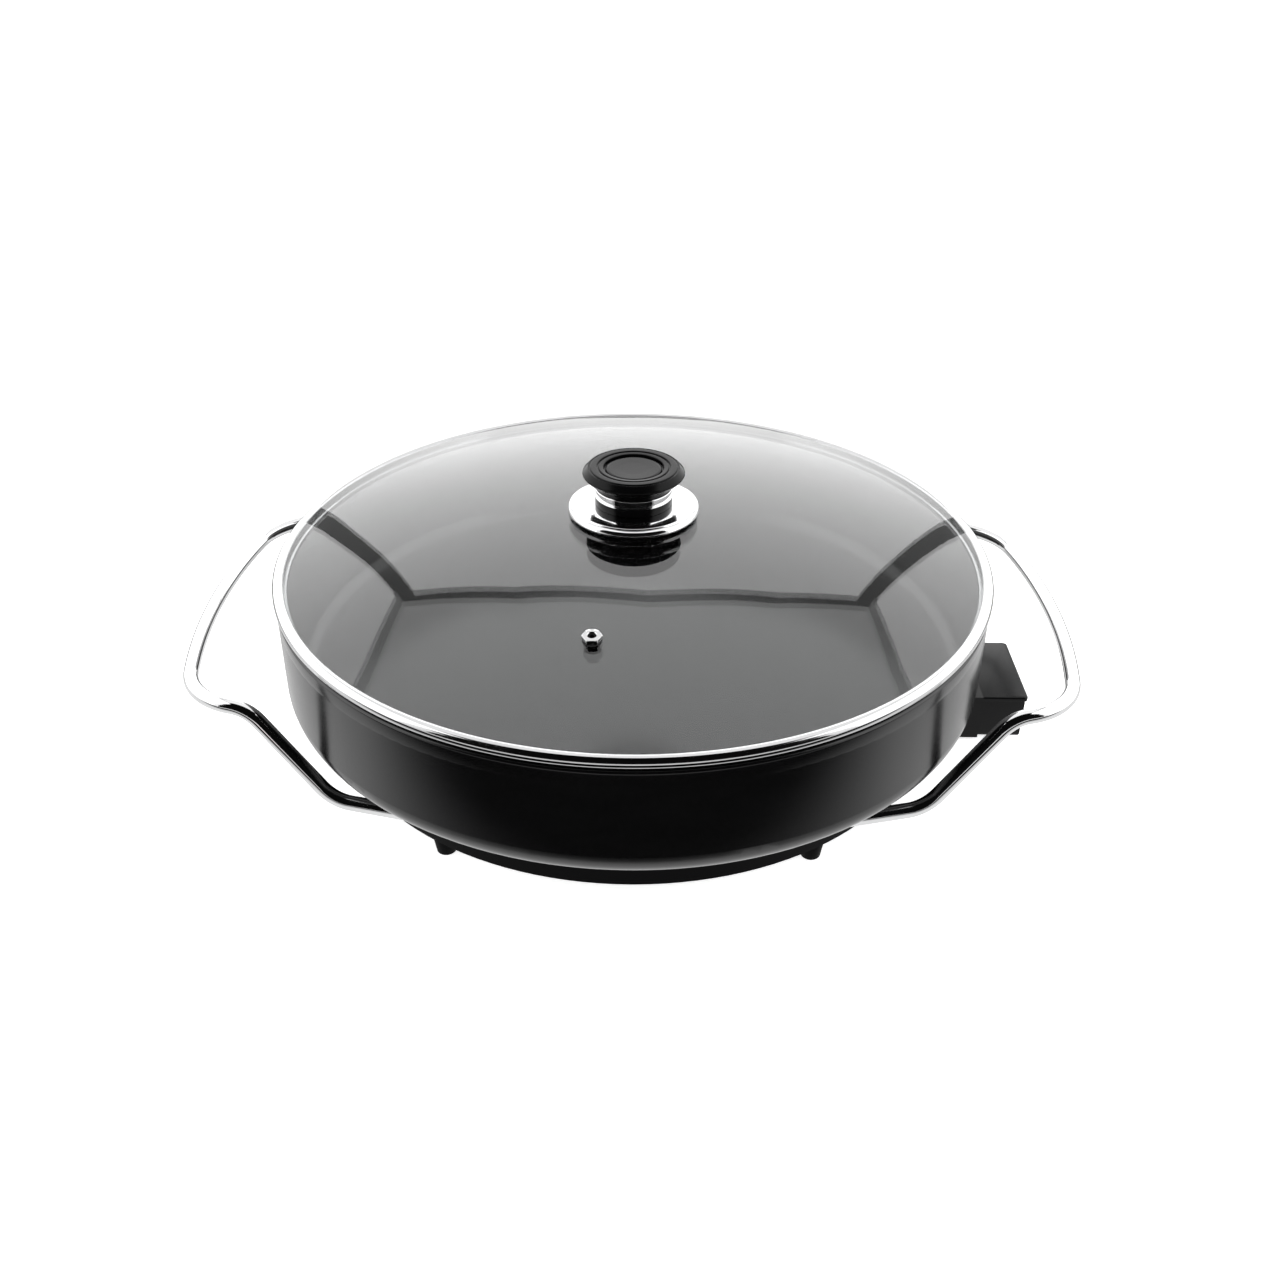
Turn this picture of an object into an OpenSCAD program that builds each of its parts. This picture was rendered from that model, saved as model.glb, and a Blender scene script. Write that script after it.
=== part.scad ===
// Round electric party pan with a domed glass lid, wire handles and a plug-in heater inlet.
// Z is up and zero at the standing surface, the pan's axis is the Z axis, the inlet points to +X.

/* [Pan] */
// Outer radius of the pan's wall
pan_r = 206; // [180:1:230]
// Height of the pan's flat underside above the standing surface
pan_base_z = 37; // [36:0.5:50]
// Height of the pan from its underside to its rim
pan_h = 68.6; // [50:1:90]
// Thickness of the pan's wall
pan_wall = 3.5; // [2.5:0.5:5]
// Thickness of the pan's floor
pan_floor = 4; // [3:0.5:6]
// Outer radius of the rounded bottom corner
corner_r = 17; // [10:1:24]

/* [Heater] */
// Distance of the heater loop's centreline inside the base ring's lower edge
heater_inset = 59; // [50:1:89]
// Radius of the heater tube
heater_tube_r = 4; // [3:0.25:4.5]
// Distance of each cold end and terminal pin from the middle plane
terminal_y = 13; // [12.5:0.5:16]
// Distance of the heat shield's edge outside the heater loop's centreline
shield_margin = 12; // [9:1:14]

/* [Base ring] */
// Distance of the base ring's lower edge inside the pan's wall
ring_inset = 27; // [20:1:36]
// Wall thickness of the base ring
ring_wall = 3; // [2.5:0.5:4]
// Distance of the base ring's lower edge below the pan's underside
ring_h = 24.2; // [23:0.2:27]
// Distance of the foot centres inside the base ring's lower edge
foot_inset = 9; // [7:1:17]
// Angle of each foot from the inlet's axis
foot_angle = 54.5; // [50:0.5:58]
// Radius of a foot at the bottom
foot_r = 5.3; // [4.5:0.1:6.5]

/* [Handles] */
// Radius of the handle wire
wire_r = 4.25; // [3:0.25:5]
// Distance of the outer bar's middle outside the pan's wall
grip_reach = 45.5; // [38:0.5:69]
// Height of the grip loop's centreline above the pan's underside
grip_rise = 36; // [29:1:47]
// Distance of the wire's centreline below the pan's underside, where it runs under the pan
leg_drop = 16.5; // [15.5:0.5:17]
// Distance along X from the pan's wall out to where a leg starts to dip
knee_gap = 7; // [4:0.5:12]
// Distance along Y from where a leg starts to dip out to its foot
leg_spread = 28.4; // [24:0.2:33]
// Radius of the grip's corners in plan
grip_corner_r = 42; // [36:1:44]
// Slope of a leg below the horizontal
leg_slope = 50; // [45:1:60]
// Bend radius at a leg's top
knee_r = 20; // [12:1:24]
// Bend radius at a leg's foot
heel_r = 22; // [14:1:26]

/* [Inlet] */
// Half of the inlet housing's width
inlet_half_y = 31.6; // [30:0.2:34]
// Distance of the inlet housing's top below the pan's underside
inlet_drop = 5.6; // [5:0.1:6.5]
// Height of the inlet housing's bottom
inlet_low_z = 2.2; // [1.5:0.1:3]
// Length of the housing's outer shell
shroud_len = 27; // [24:0.5:36]
// Distance of the joint between the two housing shells outside the base ring's lower edge
seam_gap = 31; // [27:0.5:32]
// Wall thickness of the inlet housing
inlet_wall = 2.5; // [2:0.25:3]
// Radius of a terminal pin
pin_r = 2.4; // [2:0.1:3]
// Outer radius of the probe tube
probe_r = 5; // [4.5:0.1:5.5]
// Bore radius of the probe tube
probe_bore_r = 3.8; // [3:0.1:4]
// Distance of the terminal pins and the probe tube below the pan's underside
pin_drop = 20; // [19.5:0.1:20.5]

/* [Lid] */
// Distance of the lid's rim band outside the pan's wall
lid_overhang = 1; // [0.5:0.5:2]
// Radius of the rim band's rounded edge
bead_r = 3.5; // [3:0.1:4]
// Height of the glass dome above its edge
dome_rise = 26.2; // [20:0.2:45]
// Thickness of the glass
glass_t = 4; // [3:0.5:4.5]
// Depth of the band's skirt inside the pan
skirt_h = 7; // [4:0.5:12]
// Radius of the steam vent's place on the glass
vent_pcr = 128.4; // [80:1:150]
// Angle of the steam vent around the lid
vent_angle = 261.7; // [0:0.1:360]

/* [Knob] */
// Radius of the knob's top
knob_r = 29.2; // [24:0.5:34]
// Height of the knob above the glass, to the top of its raised ring
knob_h = 27; // [24:0.5:34]
// Radius of the knob's neck
neck_r = 21.8; // [19:0.1:23]
// Radius of the round cap in the knob's top
cap_r = 15.9; // [12:0.1:16.5]
// Radius of the chrome flange under the knob
flange_r = 37.8; // [32:0.2:42]

/* [Fit] */
// Clearance between fixed pieces that meet
fit = 0.05; // [0.02:0.01:0.1]
// Clearance between the lid and the pan
lid_gap = 0.3; // [0.3:0.1:1]

/* [Hidden] */
$fn = 96;

// Pan
rim_z = pan_base_z + pan_h;
pan_in_r = pan_r - pan_wall;
floor_z = pan_base_z + pan_floor;
rim_round = pan_wall / 2;
ring_r = pan_r - ring_inset;
heater_r = ring_r - heater_inset;
ridge_half = heater_tube_r + 4;
ridge_z = pan_base_z - 7;
heater_z = ridge_z + 0.5;
cold_end_x = ring_r - 11;
slot_gap = 0.5;
knuckle = 0.15;
cold_pin_r = 1.6;
post_r = 6;
screw_r = 2;
screw_head_r = 4;
screw_head_h = 2.4;

// Base ring
ring_z = pan_base_z - ring_h;
ring_top_z = pan_base_z - fit;
ring_top_r = ring_r + 2;
shelf_z = pan_base_z - 10;
shelf_t = ridge_z - shelf_z - fit;
shield_r = heater_r + shield_margin;
shelf_in_r = shield_r + 6;
ring_post_pcr = shelf_in_r + 10;
ring_post_angles = [90, 155, 205, 270];
boss_r = 11;
eye_r = 8;
eye_t = 4.4;
foot_x = (ring_r - foot_inset) * cos(foot_angle);
foot_y = (ring_r - foot_inset) * sin(foot_angle);
foot_top_r = foot_r + 1.9;
foot_top_z = ring_z - fit;
foot_recess_z = 4;

// Heat shield
shield_t = 0.8;
shield_z = pan_base_z - 13;
shield_post_pcr = heater_r / 2;
shield_post_angles = [30, 150, 270];

// Handles
grip_x = pan_r + grip_reach;
grip_z = pan_base_z + grip_rise;
leg_z = pan_base_z - leg_drop;
knee_x = pan_r + knee_gap;
knee_y = foot_y - leg_spread;
wire_lap = 0.4;
wire_step = 0.02;
splay = atan2(foot_y - knee_y, knee_x - foot_x);
corner_cx = knee_x - grip_corner_r * sin(splay);
corner_cy = knee_y - grip_corner_r * cos(splay);
grip_dx = grip_x - corner_cx;
grip_r = (grip_dx ^ 2 + corner_cy ^ 2 - grip_corner_r ^ 2) / (2 * (grip_dx - grip_corner_r));
grip_cx = grip_x - grip_r;
grip_half = atan2(corner_cy, corner_cx - grip_cx);
bends_drop = (knee_r + heel_r) * (1 - cos(leg_slope));
slope_len = (grip_z - leg_z - bends_drop) / sin(leg_slope);
leg_reach = (knee_r + heel_r) * sin(leg_slope) + slope_len * cos(leg_slope);
low_len = norm([knee_x - foot_x, knee_y - foot_y]) - leg_reach;

// Inlet
window_half = inlet_half_y + 0.3;
inlet_top_z = pan_base_z - inlet_drop;
inlet_seam_x = ring_r + seam_gap;
inlet_x = inlet_seam_x + shroud_len;
inlet_in_x = ring_r - 17;
inlet_roof_x = ring_r - 1;
inlet_height = inlet_top_z - inlet_low_z;
ear_x = ring_r - 31;
ear_y = inlet_half_y + 14.4;
ear_t = 3;
ear_screw = [ring_r - 24, inlet_half_y + 6.4];
lip_t = 3;
lip_out = 1.2;
block_x = inlet_seam_x - 12;
block_t = 8;
block_gap = 0.3;
tongue_y = [inlet_half_y - 9.1, inlet_half_y - 4.1];
tongue_z = inlet_low_z + inlet_wall + 0.2;
tongue_h = 5;
tongue_end_x = inlet_seam_x + 12;
shroud_screw = [inlet_seam_x + 6, (tongue_y[0] + tongue_y[1]) / 2];
pin_z = pan_base_z - pin_drop;
pin_end_x = inlet_x - 9;
pin_seat_r = pin_r + 0.4;
link_x = ring_r - 4;
link_t = 1;
small_screw_r = 1.5;
probe_end_x = inlet_x - 15;
probe_boss_x = [ring_r - 41, ring_r - 19];
probe_boss_half = probe_r + 2.5;
probe_start_x = probe_boss_x[0] + 4;
earth_z = pin_z + probe_r + 1;
earth_t = 0.8;
earth_half = 3;
earth_screw_z = earth_z + 4.5;

// Lid
lid_r = pan_r + lid_overhang;
bead_z = rim_z + lid_gap + 0.6 + bead_r;
band_in_r = lid_r - bead_r;
glass_r = band_in_r + 0.3;
edge_z = bead_z + glass_t / 2;
dome_r = (glass_r ^ 2 + dome_rise ^ 2) / (2 * dome_rise);
dome_cz = edge_z + dome_rise - dome_r;
apex_z = edge_z + dome_rise;
band_t = 1;
skirt_r = min(pan_in_r - 1.5, band_in_r - 2.5);
gasket_t = 0.8;
vent_tilt = asin(vent_pcr / dome_r);
vent_hole_r = 3.4;
vent_flats = 9.4;
vent_nut_h = 2.8;
vent_bore_r = 1.9;

// Knob
flange_low_z = apex_z + 0.2;
flange_edge_h = 4;
flange_rise = 1.2;
flange_t = 1.2;
flange_round = 2;
flange_seat_z = flange_low_z + flange_edge_h + flange_rise;
collar_z = flange_seat_z + 4.4;
collar_h = 5.6;
collar_r = neck_r + 0.7;
knob_top_z = apex_z + knob_h;
cap_z = knob_top_z - 1.1;
cap_t = 3;
groove_w = 1.4;
groove_d = 1.6;
insert_r = 5;
insert_h = 12;
knob_screw_r = 3;
hole_fit = 1;

// A copy on each side of the middle plane
module both_sides() {
  children();
  mirror([0, 1, 0]) children();
}

// Screw with its tip at tip_z and the underside of its round head at seat_z
module screw_up(seat_z, tip_z, r = screw_r, head_r = screw_head_r, head_h = screw_head_h) {
  translate([0, 0, seat_z - head_h]) cylinder(r = head_r, h = head_h, $fn = 48);
  translate([0, 0, seat_z - fit]) cylinder(r = r, h = tip_z - seat_z + fit, $fn = 48);
}

// Places along a circle about the pan's axis
module around(angles, r) {
  for (a = angles) rotate([0, 0, a]) translate([r, 0, 0]) children();
}

// Pan
module pan_outline() {
  difference() {
    union() {
      translate([0, pan_base_z]) square([pan_r - corner_r, corner_r + 1]);
      translate([0, pan_base_z + corner_r]) square([pan_r, pan_h - corner_r - rim_round]);
      translate([pan_r - corner_r, pan_base_z + corner_r]) circle(corner_r);
      translate([pan_r - rim_round, rim_z - rim_round]) circle(rim_round);
    }
    pan_hollow_outline();
    translate([-pan_r, 0]) square([pan_r, rim_z + 1]);
  }
}

module pan_hollow_outline() {
  inner_r = corner_r - pan_wall;
  translate([0, floor_z]) square([pan_in_r - inner_r, rim_z]);
  translate([0, floor_z + inner_r]) square([pan_in_r, rim_z]);
  translate([pan_in_r - inner_r, floor_z + inner_r]) circle(inner_r);
}

module ridge_outline() {
  difference() {
    translate([heater_r - ridge_half, ridge_z]) square([2 * ridge_half, pan_base_z - ridge_z + 1]);
    translate([heater_r, heater_z]) circle(heater_tube_r + fit);
  }
}

module pan_body() color("#1b1b1d") difference() {
  union() {
    rotate_extrude($fn = 180) pan_outline();
    rotate_extrude($fn = 180) ridge_outline();
    around(ring_post_angles, ring_post_pcr)
      translate([0, 0, ridge_z]) cylinder(r = post_r, h = pan_base_z - ridge_z + 1, $fn = 48);
    around(shield_post_angles, shield_post_pcr)
      translate([0, 0, shield_z + shield_t + fit])
        cylinder(r = post_r, h = pan_base_z - shield_z - shield_t + 1, $fn = 48);
    translate([probe_boss_x[0], -probe_boss_half, pin_z - probe_r - 1.5])
      cube([probe_boss_x[1] - probe_boss_x[0], 2 * probe_boss_half, pan_base_z - pin_z + probe_r + 2]);
  }
  around(ring_post_angles, ring_post_pcr)
    translate([0, 0, ridge_z - 1]) cylinder(r = screw_r + fit, h = 9, $fn = 48);
  around(shield_post_angles, shield_post_pcr)
    translate([0, 0, shield_z]) cylinder(r = screw_r + fit, h = 13, $fn = 48);
  translate([probe_start_x - fit, 0, pin_z]) rotate([0, 90, 0])
    cylinder(r = probe_r + fit, h = probe_boss_x[1], $fn = 48);
  translate([probe_boss_x[1] - 9, 0, earth_screw_z]) rotate([0, 90, 0])
    cylinder(r = small_screw_r + fit, h = 10, $fn = 48);
  both_sides() translate([heater_r - ridge_half - 2, terminal_y - heater_tube_r - slot_gap, 0])
    cube([2 * ridge_half + 4, 2 * (heater_tube_r + slot_gap), heater_z + heater_tube_r + slot_gap]);
}

// Heater
module heating_element() color("#8d8a86") {
  end_angle = asin(terminal_y / heater_r);
  end_x = heater_r * cos(end_angle);
  translate([0, 0, heater_z]) {
    rotate([0, 0, end_angle]) rotate_extrude(angle = 360 - 2 * end_angle, $fn = 180)
      translate([heater_r, 0]) circle(heater_tube_r, $fn = 48);
    both_sides() translate([end_x, terminal_y, 0]) rotate([0, 90, 0]) {
      sphere(r = heater_tube_r + knuckle, $fn = 48);
      cylinder(r = heater_tube_r, h = cold_end_x - end_x, $fn = 48);
      cylinder(r = cold_pin_r, h = link_x + link_t + 1 - end_x, $fn = 48);
    }
  }
}

module heat_shield() color("#b9babb") difference() {
  translate([0, 0, shield_z]) cylinder(r = shield_r, h = shield_t, $fn = 180);
  around(shield_post_angles, shield_post_pcr)
    translate([0, 0, shield_z - 1]) cylinder(r = screw_r + fit, h = 3, $fn = 48);
}

module shield_screws() color("#a9aaac")
  around(shield_post_angles, shield_post_pcr) screw_up(shield_z - fit, shield_z + 10);

// Base ring
module foot_places() {
  for (mx = [0, 1], my = [0, 1]) mirror([mx, 0, 0]) mirror([0, my, 0])
    translate([foot_x, foot_y, 0]) children();
}

module ring_outline() {
  polygon([[ring_r - ring_wall, ring_z], [ring_r, ring_z], [ring_top_r, ring_top_z],
           [ring_top_r - ring_wall, ring_top_z]]);
  translate([shelf_in_r, shelf_z]) square([ring_r - 0.5 - shelf_in_r, shelf_t]);
}

module eye_channel() {
  translate([0, 0, leg_z - eye_t / 2 - fit]) cylinder(r = eye_r + fit, h = eye_t + 2 * fit, $fn = 48);
  translate([0, 0, leg_z]) rotate([0, 0, -splay]) rotate([0, 90, 0])
    cylinder(r = wire_r + fit, h = low_len, $fn = 48);
}

module base_ring() color("#1d1d1f") difference() {
  union() {
    rotate_extrude($fn = 180) ring_outline();
    intersection() {
      foot_places() translate([0, 0, ring_z]) cylinder(r = boss_r, h = ring_top_z - ring_z, $fn = 64);
      cylinder(r = ring_r - 0.5, h = pan_base_z, $fn = 180);
    }
  }
  foot_places() {
    eye_channel();
    translate([0, 0, ring_z - 1]) cylinder(r = screw_r + fit, h = 18, $fn = 48);
  }
  around(ring_post_angles, ring_post_pcr)
    translate([0, 0, shelf_z - 1]) cylinder(r = screw_r + fit, h = 5, $fn = 48);
  translate([probe_boss_x[0] - 4, -window_half, 0]) cube([60, 2 * window_half, pan_base_z]);
  both_sides() translate([ear_screw[0], ear_screw[1], shelf_z - 1])
    cylinder(r = small_screw_r + fit, h = 5, $fn = 48);
}

module ring_screws() color("#a9aaac")
  around(ring_post_angles, ring_post_pcr) screw_up(shelf_z - fit, ridge_z + 6);

// Feet
module foot() color("#161617") difference() {
  cylinder(r1 = foot_r, r2 = foot_top_r, h = foot_top_z, $fn = 64);
  translate([0, 0, -1]) cylinder(r = screw_head_r + fit, h = foot_recess_z + 1, $fn = 48);
  cylinder(r = screw_r + fit, h = foot_top_z + 1, $fn = 48);
}

module foot_at(sx, sy) translate([sx * foot_x, sy * foot_y, 0]) foot();
module foot_front_left() foot_at(-1, -1);
module foot_front_right() foot_at(1, -1);
module foot_rear_left() foot_at(-1, 1);
module foot_rear_right() foot_at(1, 1);

module foot_screws() color("#a9aaac") foot_places() screw_up(foot_recess_z - fit, leg_z + 9);

// Handles
// The straight runs and grip corners are a hair thinner than the bends they lap into
module run(len) translate([-wire_lap, 0, 0]) rotate([0, 90, 0])
  cylinder(r = wire_r - wire_step, h = len + 2 * wire_lap, $fn = 48);

// A bend that starts along +X and turns towards +Z
module bend(r, a) translate([0, 0, r]) rotate([90, 0, 0]) rotate([0, 0, -90])
  rotate_extrude(angle = a, $fn = 96) translate([r, 0]) circle(wire_r, $fn = 48);

// A leg from the grip loop down to the eye under a foot's boss, along +X from the origin
module leg() {
  mirror([0, 0, 1]) bend(knee_r, leg_slope);
  translate([knee_r * sin(leg_slope), 0, -knee_r * (1 - cos(leg_slope))]) {
    rotate([0, leg_slope, 0]) run(slope_len);
    translate([slope_len * cos(leg_slope), 0, -slope_len * sin(leg_slope)]) {
      rotate([0, leg_slope, 0]) bend(heel_r, leg_slope);
      translate([heel_r * sin(leg_slope), 0, -heel_r * (1 - cos(leg_slope))])
        run(low_len - eye_r * 0.7);
    }
  }
}

module grip_bar() translate([grip_cx, 0, grip_z]) rotate([0, 0, -grip_half])
  rotate_extrude(angle = 2 * grip_half, $fn = 180) translate([grip_r, 0]) circle(wire_r, $fn = 48);

module grip_corner() {
  lap_angle = wire_lap / grip_corner_r * 180 / PI;
  translate([corner_cx, corner_cy, grip_z]) rotate([0, 0, grip_half - lap_angle])
    rotate_extrude(angle = 90 - splay - grip_half + 2 * lap_angle, $fn = 96)
      translate([grip_corner_r, 0]) circle(wire_r - wire_step, $fn = 48);
}

module handle() color("#d8d9db") difference() {
  union() {
    grip_bar();
    both_sides() {
      grip_corner();
      translate([knee_x, knee_y, grip_z]) rotate([0, 0, 180 - splay]) leg();
      translate([foot_x, foot_y, leg_z - eye_t / 2]) cylinder(r = eye_r, h = eye_t, $fn = 48);
    }
  }
  both_sides() translate([foot_x, foot_y, 0]) cylinder(r = screw_r + fit, h = grip_z, $fn = 48);
}

module handle_right() handle();
module handle_left() mirror([1, 0, 0]) handle();

// Inlet
module inlet_base() color("#222224") difference() {
  union() {
    difference() {
      translate([inlet_in_x, -inlet_half_y, inlet_low_z])
        cube([inlet_seam_x - inlet_in_x, 2 * inlet_half_y, inlet_height]);
      translate([inlet_in_x - 1, inlet_wall - inlet_half_y, inlet_low_z + inlet_wall])
        cube([inlet_seam_x - inlet_in_x + 2, 2 * (inlet_half_y - inlet_wall), inlet_height - 2 * inlet_wall]);
      translate([inlet_in_x - 1, -inlet_half_y - 1, shelf_z - fit])
        cube([inlet_roof_x - inlet_in_x + 1, 2 * inlet_half_y + 2, inlet_height]);
    }
    both_sides() {
      translate([ear_x, inlet_half_y - inlet_wall, shelf_z - fit - ear_t])
        cube([inlet_in_x + 2 - ear_x, ear_y - inlet_half_y + inlet_wall, ear_t]);
      translate([block_x + block_t + block_gap, tongue_y[0], tongue_z - 0.5])
        cube([inlet_seam_x - fit - block_x - block_t - block_gap, tongue_y[1] - tongue_y[0], tongue_h + 0.5]);
      translate([inlet_seam_x - 1, tongue_y[0], tongue_z])
        cube([tongue_end_x - inlet_seam_x + 1, tongue_y[1] - tongue_y[0], tongue_h]);
    }
  }
  both_sides() {
    translate([ear_screw[0], ear_screw[1], 0]) cylinder(r = small_screw_r + fit, h = 40, $fn = 48);
    translate([shroud_screw[0], shroud_screw[1], 0]) cylinder(r = small_screw_r + fit, h = 40, $fn = 48);
  }
}

module inlet_shroud() color("#222224") difference() {
  union() {
    translate([inlet_seam_x + fit, lip_out - inlet_half_y, inlet_low_z])
      cube([inlet_x - lip_out - inlet_seam_x - fit, 2 * (inlet_half_y - lip_out), inlet_height - 1]);
    translate([inlet_seam_x + fit, -inlet_half_y, inlet_top_z - lip_t])
      cube([inlet_x - inlet_seam_x - fit, 2 * inlet_half_y, lip_t]);
  }
  translate([inlet_seam_x - 1, inlet_wall + lip_out - inlet_half_y, inlet_low_z + inlet_wall])
    cube([inlet_x - inlet_seam_x + 2, 2 * (inlet_half_y - inlet_wall - lip_out),
          inlet_height - inlet_wall - lip_t]);
  both_sides() translate([shroud_screw[0], shroud_screw[1], 0]) {
    cylinder(r = small_screw_r + fit, h = 8, $fn = 48);
    cylinder(r = 2 * small_screw_r + fit, h = inlet_low_z + 1.3, $fn = 48);
  }
}

module inlet_screws() color("#a9aaac") both_sides() translate([ear_screw[0], ear_screw[1], 0])
  screw_up(shelf_z - ear_t - 2 * fit, shelf_z + shelf_t, small_screw_r, 2 * small_screw_r, 1.8);

module shroud_screws() color("#a9aaac") both_sides() translate([shroud_screw[0], shroud_screw[1], 0])
  screw_up(inlet_low_z + 1.3 - fit, tongue_z + tongue_h - 1, small_screw_r, 2 * small_screw_r, 1.2);

module terminal_block() color("#c9c4b6") difference() {
  translate([block_x, inlet_wall + block_gap - inlet_half_y, inlet_low_z + inlet_wall + block_gap])
    cube([block_t, 2 * (inlet_half_y - inlet_wall - block_gap), inlet_height - 2 * inlet_wall - 2 * block_gap]);
  both_sides() translate([block_x - 1, terminal_y, pin_z]) rotate([0, 90, 0])
    cylinder(r = pin_seat_r + fit, h = block_t + 2, $fn = 48);
  translate([block_x - 1, 0, pin_z]) rotate([0, 90, 0]) cylinder(r = probe_r + fit, h = block_t + 2, $fn = 48);
  translate([block_x - 1, -earth_half - fit, earth_z - fit])
    cube([block_t + 2, 2 * (earth_half + fit), earth_t + 2 * fit]);
}

module terminal_pin(side) color("#d9dadc") translate([0, side * terminal_y, pin_z]) {
  translate([block_x, 0, 0]) rotate([0, 90, 0]) cylinder(r = pin_r, h = pin_end_x - block_x, $fn = 48);
  translate([block_x - 2, 0, 0]) rotate([0, 90, 0]) cylinder(r = pin_seat_r, h = block_t + 2.5, $fn = 48);
  translate([pin_end_x, 0, 0]) sphere(r = pin_r, $fn = 48);
  translate([link_x, 0, 0]) rotate([0, 90, 0]) cylinder(r = cold_pin_r, h = block_x - link_x, $fn = 48);
}

module terminal_pin_left() terminal_pin(-1);
module terminal_pin_right() terminal_pin(1);

module terminal_links() color("#c8b27a") both_sides() difference() {
  translate([link_x, terminal_y - 4, pin_z - 4]) cube([link_t, 8, heater_z - pin_z + 8]);
  for (z = [pin_z, heater_z]) translate([link_x - 1, terminal_y, z]) rotate([0, 90, 0])
    cylinder(r = cold_pin_r + fit, h = link_t + 2, $fn = 48);
}

module probe_tube() color("#b4b5b7") translate([probe_start_x, 0, pin_z]) rotate([0, 90, 0]) difference() {
  cylinder(r = probe_r, h = probe_end_x - probe_start_x, $fn = 48);
  translate([0, 0, 2]) cylinder(r = probe_bore_r, h = probe_end_x - probe_start_x, $fn = 48);
}

module earth_strip() color("#c8b27a") difference() {
  union() {
    translate([probe_boss_x[1] + fit, -earth_half, earth_z])
      cube([pin_end_x - 2 - probe_boss_x[1], 2 * earth_half, earth_t]);
    translate([probe_boss_x[1] + fit, -earth_half, earth_z]) cube([1, 2 * earth_half, 7]);
  }
  translate([probe_boss_x[1] - 1, 0, earth_screw_z]) rotate([0, 90, 0])
    cylinder(r = small_screw_r + fit, h = 4, $fn = 48);
}

module earth_screw() color("#a9aaac") translate([probe_boss_x[1] + 1 + 2 * fit, 0, earth_screw_z])
  rotate([0, -90, 0]) screw_up(0, 8, small_screw_r, 2.6, 1.6);

// Lid
module dome_outline(low, high, r_max) intersection() {
  difference() {
    translate([0, dome_cz]) circle(dome_r + high, $fn = 720);
    translate([0, dome_cz]) circle(dome_r + low, $fn = 720);
  }
  translate([0, bead_z - 3 * bead_r]) square([r_max, dome_rise + 6 * bead_r]);
}

// Place on the dome at the vent, with Z along the glass's normal and zero at its upper face
module at_vent() translate([0, 0, dome_cz]) rotate([0, 0, vent_angle]) rotate([0, vent_tilt, 0])
  translate([0, 0, dome_r]) children();

module lid_glass() color("#9aa0a3", 0.35) difference() {
  rotate_extrude($fn = 180) dome_outline(-glass_t, 0, glass_r);
  translate([0, 0, dome_cz]) cylinder(r = knob_screw_r + hole_fit, h = dome_r + 5, $fn = 48);
  at_vent() translate([0, 0, -2 * glass_t]) cylinder(r = vent_hole_r + fit, h = 3 * glass_t, $fn = 48);
}

module seal_outline(margin) translate([glass_r + fit - margin, edge_z - glass_t - margin])
  square([gasket_t + 2 * margin, glass_t + 2 * margin]);

module rim_section() {
  difference() {
    translate([band_in_r, bead_z]) circle(bead_r, $fn = 64);
    dome_outline(-glass_t - fit, fit, glass_r + fit);
    seal_outline(fit);
  }
  translate([skirt_r - band_t, bead_z - bead_r - 0.6]) square([band_in_r - skirt_r + band_t, band_t]);
  translate([skirt_r - band_t, bead_z - bead_r - skirt_h]) square([band_t, skirt_h]);
}

module lid_rim() color("#d8d9db") rotate_extrude($fn = 180) rim_section();

module glass_seal() color("#3a3a3c") rotate_extrude($fn = 180) seal_outline(0);

module vent_nut() color("#d8d9db") at_vent() translate([0, 0, gasket_t]) difference() {
  cylinder(r = vent_flats / 2 / cos(30), h = vent_nut_h, $fn = 6);
  translate([0, 0, -1]) cylinder(r = vent_hole_r - 0.4 + fit, h = vent_nut_h + 2, $fn = 48);
}

module vent_washer() color("#2b2b2d") at_vent() difference() {
  translate([0, 0, fit]) cylinder(r = vent_flats / 2 + 0.4, h = gasket_t - 2 * fit, $fn = 64);
  translate([0, 0, -1]) cylinder(r = vent_hole_r - 0.4 + fit, h = 3, $fn = 48);
}

module vent_eyelet() color("#c9cacc") at_vent() difference() {
  union() {
    translate([0, 0, -glass_t - 1]) cylinder(r = vent_hole_r - 0.4, h = glass_t + gasket_t + vent_nut_h + 1.4, $fn = 48);
    translate([0, 0, -glass_t - 1.3]) cylinder(r = vent_flats / 2, h = 1.2, $fn = 48);
  }
  translate([0, 0, -2 * glass_t]) cylinder(r = vent_bore_r, h = 4 * glass_t, $fn = 48);
}

// Knob
module flange_outline(inset) {
  r = flange_r - inset;
  top = flange_low_z + flange_edge_h - inset;
  round_r = flange_round - inset * 0.6;
  translate([0, flange_low_z]) square([r, flange_edge_h - inset - round_r]);
  polygon([[0, flange_low_z], [r - round_r, flange_low_z], [r - round_r, top],
           [neck_r, top + flange_rise], [0, top + flange_rise]]);
  translate([r - round_r, top - round_r]) circle(round_r);
}

module knob_flange() color("#d8d9db") difference() {
  rotate_extrude() difference() {
    flange_outline(0);
    translate([0, -flange_t / 2]) flange_outline(flange_t / 2 + fit);
    translate([0, flange_low_z - 1]) square([flange_r - flange_t, 1 + flange_edge_h / 2]);
    translate([-flange_r, 0]) square([flange_r, knob_top_z]);
  }
  cylinder(r = knob_screw_r + fit, h = knob_top_z, $fn = 48);
}

module flange_gasket() color("#3a3a3c") difference() {
  rotate_extrude() difference() {
    translate([knob_screw_r + 1, apex_z]) square([10, flange_seat_z - flange_t - fit - apex_z]);
    dome_outline(-glass_t, fit, flange_r);
  }
}

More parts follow.
